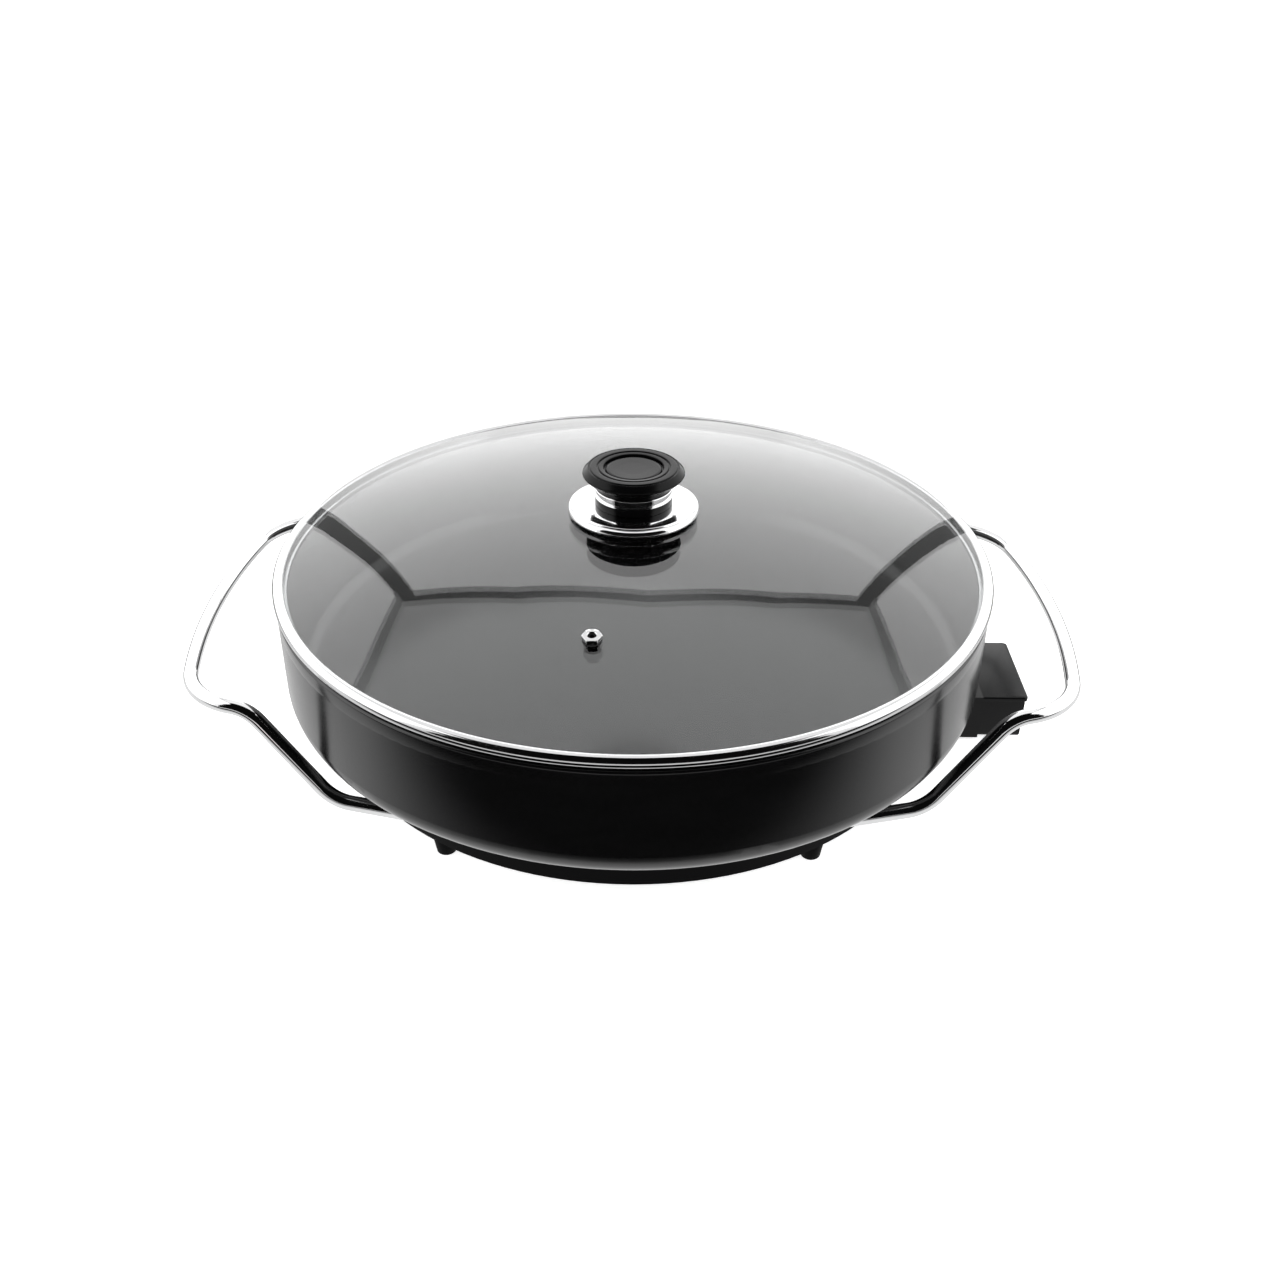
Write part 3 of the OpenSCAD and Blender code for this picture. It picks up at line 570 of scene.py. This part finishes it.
class PARTY_OT_handles(bpy.types.Operator):
    """Build the two wire handles, bent from one rod each and flattened to an eye at both ends"""

    bl_idname = "party.handles"
    bl_label = "Build handles"

    # distance before the eye's middle in millimetres, and how flat the wire is there from 0 to 1
    eye = ((26, 0), (12, 0), (9, 0.3), (6.5, 0.8), (4, 1), (0, 1), (-4, 0.9), (-6.5, 0.6), (-7.8, 0.2))
    eye_wider, eye_thinner = 0.85, 0.48

    def centreline(self, h):
        """Half of the right handle's centreline, from the grip's middle to the eye, and how flat it is."""
        low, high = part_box("foot_rear_right")
        foot = Vector(((low.x + high.x) / 2, (low.y + high.y) / 2))
        grip_x, grip_z = GRIP[1].x - h.wire_radius, GRIP[1].z - h.wire_radius
        low_z = GRIP[0].z + h.wire_radius
        knee = Vector((PAN[1].x + h.knee_out, foot.y - h.spread))
        splay = math.atan2(foot.y - knee.y, knee.x - foot.x)
        corner = knee - h.corner_radius * Vector((math.sin(splay), math.cos(splay)))
        reach = grip_x - corner.x
        bow = (reach**2 + corner.y**2 - h.corner_radius**2) / (2 * (reach - h.corner_radius))
        half = math.atan2(corner.y, corner.x - grip_x + bow)
        plan = arc((grip_x - bow, 0), bow, 0, half, 24)
        plan += arc(corner, h.corner_radius, half, math.pi / 2 - splay, 20)[1:]
        points = [(Vector((p.x, p.y, grip_z)), 0.0) for p in plan]
        away = Vector((-math.cos(splay), math.sin(splay), 0))
        start = Vector((knee.x, knee.y, grip_z))

        def leg(s, drop, flat=0.0):
            points.append((start + away * s - Vector((0, 0, drop)), flat))

        steps = 14
        for k in range(1, steps + 1):
            a = h.slope * k / steps
            leg(h.knee_radius * math.sin(a), h.knee_radius * (1 - math.cos(a)))
        bends = h.knee_radius + h.heel_radius
        run = (grip_z - low_z - bends * (1 - math.cos(h.slope))) / math.sin(h.slope)
        s = h.knee_radius * math.sin(h.slope) + run * math.cos(h.slope)
        drop = h.knee_radius * (1 - math.cos(h.slope)) + run * math.sin(h.slope)
        for k in range(steps + 1):
            a = h.slope * (1 - k / steps)
            leg(
                s + h.heel_radius * (math.sin(h.slope) - math.sin(a)),
                drop + h.heel_radius * (math.cos(a) - math.cos(h.slope)),
            )
        end = (Vector((foot.x, foot.y)) - knee).length
        s += h.heel_radius * math.sin(h.slope)
        for back, flat in self.eye:
            if end - back * MM > s + 1 * MM:
                leg(end - back * MM, grip_z - low_z, flat)
        return points

    def rod(self, bm, h, points):
        """The wire's skin along its centreline, wider and thinner where it is flat."""
        loops = []
        for i, (p, flat) in enumerate(points):
            ahead = points[min(i + 1, len(points) - 1)][0] - points[max(i - 1, 0)][0]
            ahead.normalize()
            across = ahead.cross(Vector((0, 0, 1))).normalized()
            up = across.cross(ahead)
            wide = h.wire_radius * (1 + self.eye_wider * flat)
            tall = h.wire_radius * (1 - self.eye_thinner * flat)
            angles = [TURN * k / h.sides for k in range(h.sides)]
            loops.append([p + across * wide * math.cos(a) + up * tall * math.sin(a) for a in angles])
        loft(bm, loops)

    def execute(self, context):
        h = context.scene.party_handles
        half = self.centreline(h)
        other = [(Vector((p.x, -p.y, p.z)), flat) for p, flat in half[:0:-1]]
        for name in ("handle_right", "handle_left"):
            bm = bmesh.new()
            self.rod(bm, h, other + half)
            if name == "handle_left":
                bmesh.ops.mirror(
                    bm, geom=list(bm.verts) + list(bm.edges) + list(bm.faces), axis="X", merge_dist=-1
                )
                bmesh.ops.delete(bm, geom=[v for v in bm.verts if v.co.x > 0], context="VERTS")
            piece(bm, f"wire_{name}", "handle_chrome", "base", [name], 60.0)
        return {"FINISHED"}


class PARTY_OT_lip(bpy.types.Operator):
    """Build the smooth coated skin over the pan's rounded rim"""

    bl_idname = "party.lip"
    bl_label = "Build pan lip"

    def execute(self, context):
        s = context.scene.party_pan
        half = s.lip_wall / 2 + s.lip_skin
        middle, top = PAN[1].x - s.lip_wall / 2, PAN[1].z + s.lip_skin
        inside = s.lip_wall / 2 - 0.1 * MM
        skirt, foot = top - 8 * MM, top - 9 * MM
        crown = [Vector((middle, top - half)) + p for p in arc((0, 0), half, 0, math.pi, 24)]
        outline = [
            (middle + inside, foot), (middle + half, skirt), *crown,
            (middle - half, skirt), (middle - inside, foot), (middle + inside, foot),
        ]
        turned("pan_lip", "nonstick", "base", outline, context.scene.party_lid.steps)
        return {"FINISHED"}


class PARTY_OT_feet(bpy.types.Operator):
    """Build the four feet with rounded edges and a screw recess"""

    bl_idname = "party.feet"
    bl_label = "Build feet"

    def execute(self, context):
        s = context.scene.party_pan
        for name in ("foot_front_left", "foot_front_right", "foot_rear_left", "foot_rear_right"):
            low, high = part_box(name)
            top_r, tall = (high.x - low.x) / 2, high.z - low.z
            recess_r, recess_z, bore, soft = 4.05 * MM, 4 * MM, 2.05 * MM, 0.3 * MM
            outline = rounded([
                (bore, tall, 0), (top_r, tall, 0.5 * MM), (s.foot_radius, 0, s.foot_edge),
                (recess_r, 0, soft), (recess_r, recess_z, soft), (bore, recess_z, 0), (bore, tall, 0),
            ])
            place = Matrix.Translation(((low.x + high.x) / 2, (low.y + high.y) / 2, low.z))
            turned(name.replace("foot", "stud"), "foot_plastic", "base", outline, 64, [name], place)
        return {"FINISHED"}


class PARTY_OT_inlet(bpy.types.Operator):
    """Build the inlet's outer shell: a rounded hood with a top plate over an open socket"""

    bl_idname = "party.inlet"
    bl_label = "Build inlet"

    @staticmethod
    def loop(x, half, low, top, radius):
        """An upright rounded rectangle across the inlet."""
        corners = [(-half, low, radius), (half, low, radius), (half, top, radius), (-half, top, radius)]
        return [Vector((x, p.x, p.y)) for p in rounded(corners, 6, True)]

    def shell(self, bm, s, back, front, half, low, top):
        """The hollow shell under the top plate."""
        e, r, soft = s.edge, s.corner, 0.6 * MM
        end, side, under = front - s.lip, half - s.lip, top - soft
        hole = (side - s.wall, low + s.wall, top - s.plate)
        flare = 0.5 * MM
        loft(bm, [
            self.loop(back, *hole, soft),
            self.loop(back, side, low, under, r),
            self.loop(end - e, side, low, under, r),
            self.loop(end - 0.3 * e, side - 0.3 * e, low + 0.3 * e, under - 0.1 * MM, r),
            self.loop(end, side - e, low + e, under - 0.2 * MM, r),
            self.loop(end, hole[0] + flare, hole[1] - flare, hole[2] + flare, soft + 0.3 * MM),
            self.loop(end - soft, *hole, soft),
        ], ring=True)

    def plate(self, bm, s, back, front, half, top):
        """The top plate, with its edges softened above and below."""
        e, low = s.edge, top - s.plate
        corners = [(back, -half, 0), (back, half, 0), (front, half, s.corner), (front, -half, s.corner)]
        plan = rounded(corners, 8, True)
        levels = [(low, 0.6 * e), (low + 0.4 * e, 0.1 * e), (low + e, 0.0), (top - e, 0.0)]
        levels += [(top - 0.6 * e, 0.08 * e), (top - 0.3 * e, 0.3 * e), (top - 0.08 * e, 0.6 * e), (top, e)]
        middle, reach = (back + front) / 2, (front - back) / 2
        loops = []
        for z, inset in levels:
            along, across = 1 - inset / reach, 1 - inset / half
            loops.append([
                Vector((middle + (p.x - middle) * along if p.x > middle else p.x, p.y * across, z))
                for p in plan
            ])
        loft(bm, loops)

    def execute(self, context):
        s = context.scene.party_inlet
        back, front = HOOD[0].x, HOOD[1].x
        half, low, top = HOOD[1].y, HOOD[0].z, HOOD[1].z
        bm = bmesh.new()
        self.shell(bm, s, back, front, half, low, top)
        self.plate(bm, s, back, front, half, top)
        piece(bm, "inlet_hood", "inlet_plastic", "base", ["inlet_shroud"])
        return {"FINISHED"}


class PARTY_OT_lid(bpy.types.Operator):
    """Build the lid's rolled rim band: a bead outside, a seat for the glass and a skirt inside the pan"""

    bl_idname = "party.lid"
    bl_label = "Build rim band"

    def execute(self, context):
        s = context.scene.party_lid
        b, t = s.bead_radius, s.sheet
        r, z = BAND[1].x - b, BAND[1].z - b
        skirt, foot, low = s.skirt_radius, BAND[0].z, z - b
        glass_low = z - 2.15 * MM
        start, end = math.pi - math.asin((z - glass_low) / b), -math.radians(150)
        outline = [Vector((r, z)) + p for p in arc((0, 0), b, start, end, 40)]
        outline.append(Vector((skirt + 0.3 * t, low - 0.1 * t)))
        outline += rounded([
            (skirt, low, 0), (skirt, foot, 0.45 * t), (skirt - t, foot, 0.45 * t),
            (skirt - t, low + 0.9 * t, 0.4 * t), (r - 1.4 * b, low + 0.9 * t, 0.3 * t),
            (r - 0.93 * b, glass_low, 0),
        ], 4)
        outline.append(outline[0])
        turned("rim_band", "rim_steel", "lid", outline, s.steps, ["lid_rim"])
        return {"FINISHED"}


class PARTY_OT_vent(bpy.types.Operator):
    """Build the steam vent: a chamfered hexagon nut on an eyelet given the knob's black plastic as painted
    shade, so that the vent hole looks dark
    """

    bl_idname = "party.vent"
    bl_label = "Build vent"

    flats, tall, hole = 4.7 * MM, 1.4 * MM, 2.25 * MM

    def loop(self, z, limit=1.0, radius=None):
        """The nut's hexagon at a height, cut down to a limit, or a plain circle."""
        made = []
        for k in range(96):
            a = TURN * k / 96
            hexagon = self.flats / math.cos((a % (math.pi / 3)) - math.pi / 6)
            r = radius or min(hexagon, limit)
            made.append(Vector((r * math.cos(a), r * math.sin(a), z)))
        return made

    @staticmethod
    def place(middle):
        """Moves a piece from the origin to the vent, upright on the dome."""
        edge_drop, edge_inset = 1.5 * MM, 3.2 * MM
        rise = GLASS[1].z - BAND[1].z + edge_drop
        reach = BAND[1].x - edge_inset
        dome = (reach**2 + rise**2) / (2 * rise)
        normal = Vector((middle.x, middle.y, math.sqrt(dome**2 - middle.x**2 - middle.y**2))).normalized()
        turn = Vector((0, 0, 1)).rotation_difference(normal).to_matrix().to_4x4()
        return Matrix.Translation(middle) @ turn

    def execute(self, context):
        low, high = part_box("vent_nut")
        place = self.place((low + high) / 2)
        tall, hole = self.tall, self.hole
        bm = bmesh.new()
        loft(bm, [
            self.loop(-tall, radius=hole), self.loop(-tall, 4.75 * MM), self.loop(-tall + 0.3 * MM),
            self.loop(tall - 0.45 * MM), self.loop(tall - 0.15 * MM, 5 * MM), self.loop(tall, 4.6 * MM),
            self.loop(tall, radius=hole + 0.3 * MM), self.loop(tall - 0.3 * MM, radius=hole),
        ], ring=True)
        bmesh.ops.transform(bm, matrix=place, verts=bm.verts)
        piece(bm, "vent_hex", "rim_steel", "lid", ["vent_nut"], 30.0)
        # the steel eyelet is built in the knob's black plastic: painted shade that keeps the vent hole dark
        bore, neck, wall, plate = 1.3 * MM, 2.2 * MM, 3 * MM, 4.7 * MM
        foot, step, under = -7.5 * MM, -6.3 * MM, -tall - 0.1 * MM
        turned("vent_eyelet_painted_shade", "knob_plastic", "lid", [
            (bore, foot), (bore, tall - 1 * MM), (neck, tall - 0.7 * MM), (neck, under),
            (wall, under), (wall, step), (plate, step), (plate, foot), (bore, foot),
        ], 48, ["vent_eyelet"], place, 30.0)
        return {"FINISHED"}


class PARTY_OT_knob(bpy.types.Operator):
    """Build the knob: turned grip, inset cap, chrome ring and flared chrome base"""

    bl_idname = "party.knob"
    bl_label = "Build knob"

    @staticmethod
    def sizes(box):
        """The radius, bottom and top of a round node, from its box."""
        low, high = box
        return (high.x - low.x) / 2, low.z, high.z

    @staticmethod
    def turn(name, slot, outline, steps, replaces):
        """A knob piece from an outline of (radius, height, rounding)."""
        turned(name, slot, "lid", rounded(outline, 7), steps, [replaces])

    def grip(self, s, cap, ring, neck):
        """The black grip: ridged top, tapered underside, waist and a foot inside the chrome ring."""
        r, low, top = self.sizes(KNOB)
        cap_r, cap_low, _ = cap
        _, ring_low, ring_high = ring
        gap, groove = 0.05 * MM, cap_r + s.groove
        self.turn("knob_grip", "knob_plastic", [
            # seat and groove round the cap
            (0, cap_low, 0), (cap_r + gap, cap_low, 0), (cap_r + gap, top - 3 * MM, 0),
            (cap_r + 0.3 * MM, top - 2.8 * MM, 0.1 * MM), (groove, top - 2.6 * MM, 0.4 * MM),
            # top, with a fine groove on each side of its broad ring
            (groove, top - 0.3 * MM, 0.4 * MM), (r - 9.4 * MM, top - 0.05 * MM, 1 * MM),
            (r - 9.2 * MM, top - 0.8 * MM, 0.2 * MM), (r - 8.3 * MM, top - 0.8 * MM, 0.2 * MM),
            (r - 8.1 * MM, top + 0.1 * MM, 0.4 * MM), (r - 4.5 * MM, top + 0.1 * MM, 0.4 * MM),
            (r - 4.3 * MM, top - 0.6 * MM, 0.2 * MM), (r - 3.5 * MM, top - 0.6 * MM, 0.2 * MM),
            (r - 3.2 * MM, top - 0.1 * MM, 0.4 * MM),
            # edge and underside
            (r - 0.2 * MM, top - 2.9 * MM, 1.5 * MM), (r, top - 4 * MM, 0.5 * MM),
            (r - 1.4 * MM, top - 5.6 * MM, 1.6 * MM), (neck + 1.9 * MM, top - 8.4 * MM, 1.4 * MM),
            (neck + 0.4 * MM, top - 9.6 * MM, 1.6 * MM), (neck, ring_high + gap, 0.2 * MM),
            # inside the ring, foot and hollow
            (neck - 1 * MM, ring_high + gap, 0), (neck - 1 * MM, ring_low - gap, 0),
            (neck + 0.5 * MM, ring_low - gap, 0.2 * MM), (neck + 0.5 * MM, low, 0.3 * MM), (s.bore, low, 0),
            (s.bore, low + s.bore_depth, 0), (0, low + s.bore_depth, 0),
        ], s.steps, "knob_body")

    def disc(self, s, cap):
        """The slightly dished cap in the grip's top."""
        r, low, top = cap
        low += 0.05 * MM
        self.turn("knob_disc", "knob_plastic", [
            (0, low, 0), (r, low, 0.2 * MM), (r, top - 0.2 * MM, 0.7 * MM),
            (r - 1.5 * MM, top + 0.05 * MM, 2 * MM), (r * 0.5, top - 0.15 * MM, 6 * MM),
            (0, top - 0.25 * MM, 0),
        ], s.steps, "knob_cap")

    def band(self, s, ring, neck):
        """The chrome ring round the waist."""
        r, low, top = ring
        inner, soft = neck - 0.95 * MM, 0.6 * MM
        self.turn("knob_ring", "knob_chrome", [
            (inner, low, 0), (r, low, soft), (r, top, soft), (inner, top, 0), (inner, low, 0),
        ], s.steps, "knob_collar")

    def base(self, s, neck):
        """The chrome base: a nearly flat disc with a fine groove inside its rolled edge."""
        r, low, top = self.sizes(FLANGE)
        t = s.sheet
        self.turn("knob_base", "knob_chrome", [
            (s.screw_hole, top, 0), (r - 8 * MM, top, 4 * MM), (r - 3.4 * MM, top - 0.7 * MM, 1.2 * MM),
            (r - 2.5 * MM, top - 1.5 * MM, 0.3 * MM), (r - 2.1 * MM, top - 1.3 * MM, 0.2 * MM),
            (r - 0.6 * MM, top - 1.9 * MM, 1.1 * MM), (r, low + 0.9 * MM, 1.2 * MM),
            (r - 0.6 * MM, low, 0.4 * MM), (r - t, low + 0.3 * MM, 0.3 * MM),
            (r - 1.2 * MM - t, top - 1.1 * MM - t, 0.8 * MM), (neck, top - t, 1 * MM),
            (s.screw_hole, top - t, 0), (s.screw_hole, top, 0),
        ], s.steps, "knob_flange")

    def execute(self, context):
        s = context.scene.party_knob
        cap = self.sizes(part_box("knob_cap"))
        ring = self.sizes(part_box("knob_collar"))
        neck = ring[0] - s.ring_proud
        self.grip(s, cap, ring, neck)
        self.disc(s, cap)
        self.band(s, ring, neck)
        self.base(s, neck)
        return {"FINISHED"}


class PARTY_OT_stage(bpy.types.Operator):
    """Build the floor, the light tent and the camera"""

    bl_idname = "party.stage"
    bl_label = "Build stage"

    def sheet(self, name, points, material, **seen):
        """A flat or bent stage sheet from rows of points."""
        bm = bmesh.new()
        rows = []
        for row in points:
            verts = [bm.verts.new(p) for p in row]
            rows.append([bm.edges.new(pair) for pair in zip(verts, verts[1:])])
        for first, second in zip(rows, rows[1:]):
            bmesh.ops.bridge_loops(bm, edges=first + second)
        mesh = bpy.data.meshes.new(name)
        bm.to_mesh(mesh)
        bm.free()
        mesh.materials.append(material)
        obj = bpy.data.objects.new(name, mesh)
        bpy.context.scene.collection.objects.link(obj)
        for key, value in seen.items():
            setattr(obj, "visible_" + key, value)
        obj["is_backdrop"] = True
        return obj

    def upright(self, name, line, low, high, material, **seen):
        """An upright sheet along a line in plan."""
        return self.sheet(name, [[(x, y, z) for x, y in line] for z in (low, high)], material, **seen)

    @staticmethod
    def cloth(name, strength):
        """Glowing tent cloth, with the weave's slight unevenness."""
        s = Shader(name)
        cloud = s.noise(1.7, 2.0)
        colour = s.blend(cloud, (0.97, 0.97, 0.97), (1.0, 1.0, 1.0))
        glow = s.add("ShaderNodeEmission", None, {"Color": colour, "Strength": strength})
        s.add("ShaderNodeOutputMaterial", None, {"Surface": s.out(glow)})
        return s.material

    @staticmethod
    def painted_reflection_cloth(strength):
        """Painted reflection of the floor, on a sheet that only glossy surfaces see: bright round the pan,
        painted dark just ahead and far behind, while the floor that the camera sees stays evenly bright.
        """
        s = Shader("stage_painted_reflection")
        axes = s.add("ShaderNodeSeparateXYZ", None, {"Vector": s.place})
        x, y = s.out(axes, "X"), s.out(axes, "Y")
        reach = (x * x + y * y) ** 0.5
        # painted reflection mask: bright beside and close round the pan and far ahead, dark just ahead and
        # dim far behind
        beside = s.fade(y, -0.265, -0.14) * s.fade(y, 0.05, 0.33, 1.0, 0.12)
        close = s.fade(reach, 0.208, 0.250, 1.3, 0.0)
        ahead = s.fade(y, -0.47, -0.39, 0.9, 0.0)
        glow = s.add("ShaderNodeEmission", None, {
            "Color": s.blend(beside + close - beside * close + ahead, (0.0, 0.0, 0.0), (1.0, 1.0, 1.0)),
            "Strength": strength,
        })
        s.add("ShaderNodeOutputMaterial", None, {"Surface": s.out(glow)})
        return s.material

    def execute(self, context):
        scene = context.scene
        s = scene.party_stage
        world = bpy.data.worlds.new("tent_light")
        world.use_nodes = True
        glow = world.node_tree.nodes["Background"]
        glow.inputs["Color"].default_value = (1, 1, 1, 1)
        glow.inputs["Strength"].default_value = s.ceiling
        scene.world = world

        m = Shader("stage_floor")
        mottle = m.noise(9.0, 3.0)
        floor = m.surface({
            "Base Color": m.blend(mottle, s.floor, shade(s.floor, 1.03)),
            "Roughness": 0.7 + 0.1 * mottle,
            "Specular IOR Level": 0.0,
            "Emission Color": (1.0, 1.0, 1.0, 1.0),
            "Emission Strength": s.lift,
        })
        far, skim = 6, 0.0005
        # a sheet with these settings is seen only in reflections and casts no shadow: it paints reflections
        card = {"camera": False, "diffuse": False, "shadow": False, "transmission": False}
        # the plain floor is hidden from reflections; a sheet a hair above it, seen only in reflections, is
        # the painted reflection of the floor
        for name, z, material, seen in (
            ("floor", 0, floor, {"glossy": False}), ("floor_painted_reflection", skim, self.painted_reflection_cloth(s.floor_glow), card),
        ):
            self.sheet(name, [[(-far, y, z), (far, y, z)] for y in (-far, far)], material, **seen)

        # seam, edge and black cloths go on sheets seen only in reflections: painted dark seams, painted
        # bright edges and a painted dark reflection ahead and overhead
        wall, dark = self.cloth("stage_wall", s.walls), self.cloth("stage_seam", s.seam_light)
        dim, black = self.cloth("stage_edge", s.edge_light), self.cloth("stage_black", 0.004)
        left, right, front, back, top, seam = -1.12, 1.08, -0.6, 2.05, 1.80, 0.12
        sag = [(left, back), (-0.52, 1.78), (0.03, 1.69), (0.58, 1.80), (right, back)]
        self.upright("wall_back", sag, 0.0, top, wall)
        for name, x, inward in (("left", left, 1), ("right", right, -1)):
            self.upright(f"wall_{name}", [(x, front), (x, back)], 0.0, top, wall)
            near = x + inward * 0.02
            self.upright(f"edge_{name}", [(near, front), (near, back)], top - 0.12, top, dim, **card)
            corner = [(x, back - 0.02), (x + inward * seam, back - 0.10)]
            self.upright(f"corner_{name}", corner, 0.35, top, dark, **card)
        self.upright("seam_back", [(x, y - 0.04) for x, y in sag], top - seam, top, dark, **card)
        # black sheet seen only in reflections, from ahead of the pan up and back overhead: painted dark
        # reflection
        reach, wide, high = -1.5, 2.2, top + 0.01
        arch = [(reach, 0.0), (reach, high), (s.overhead, high)]
        self.sheet("painted_reflection_front", [[(x, y, z) for y, z in arch] for x in (-wide, wide)], black, **card)

        lens = bpy.data.cameras.new("camera")
        lens.sensor_width = 36.0
        lens.lens = s.lens
        camera = bpy.data.objects.new("camera", lens)
        pitch, yaw, roll, turn = math.radians(31.89), 0.00594, 0.0069, math.radians(0.9)
        ahead = Vector((math.sin(yaw) * math.cos(pitch), math.cos(yaw) * math.cos(pitch), -math.sin(pitch)))
        right_axis = Vector((math.cos(yaw), -math.sin(yaw), 0))
        up = right_axis.cross(ahead)
        across = right_axis * math.cos(roll) + up * math.sin(roll)
        up = up * math.cos(roll) - right_axis * math.sin(roll)
        axes = Matrix((across, up, -ahead)).transposed().to_4x4()
        spot = Matrix.Translation((0, -0.7038, 0.4873))
        camera.matrix_world = Matrix.Rotation(turn, 4, "Z") @ spot @ axes
        scene.collection.objects.link(camera)
        scene.camera = camera
        scene.view_settings.view_transform = "Standard"
        return {"FINISHED"}


class PARTY_PT_panel(bpy.types.Panel):
    """The pan's settings and build buttons"""

    bl_idname = "PARTY_PT_panel"
    bl_label = "Party Pan"
    bl_space_type = "VIEW_3D"
    bl_region_type = "UI"
    bl_category = "Party Pan"

    def draw(self, context):
        for key, group in GROUPS.items():
            box = self.layout.box()
            box.label(text=group.bl_rna.name)
            settings = getattr(context.scene, key)
            for name in group.__annotations__:
                box.prop(settings, name)
        for operator in OPERATORS:
            self.layout.operator(operator.bl_idname)


OPERATORS = (
    PARTY_OT_finishes,
    PARTY_OT_handles,
    PARTY_OT_lip,
    PARTY_OT_feet,
    PARTY_OT_inlet,
    PARTY_OT_lid,
    PARTY_OT_vent,
    PARTY_OT_knob,
    PARTY_OT_stage,
)


def register():
    for cls in (*GROUPS.values(), *OPERATORS, PARTY_PT_panel):
        bpy.utils.register_class(cls)
    for key, group in GROUPS.items():
        setattr(bpy.types.Scene, key, PointerProperty(type=group))


def unregister():
    for key in GROUPS:
        delattr(bpy.types.Scene, key)
    for cls in reversed((*GROUPS.values(), *OPERATORS, PARTY_PT_panel)):
        bpy.utils.unregister_class(cls)


def corners():
    """The shown model's box as plain lists."""
    return [[float(c) for c in corner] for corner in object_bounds()]


def main():
    register()
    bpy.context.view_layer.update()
    bpy.ops.party.finishes()
    bpy.ops.party.handles()
    bpy.ops.party.lip()
    bpy.ops.party.feet()
    bpy.ops.party.inlet()
    bpy.ops.party.lid()
    bpy.ops.party.vent()
    bpy.ops.party.knob()
    bpy.ops.party.stage()


if __name__ == "__main__":
    main()
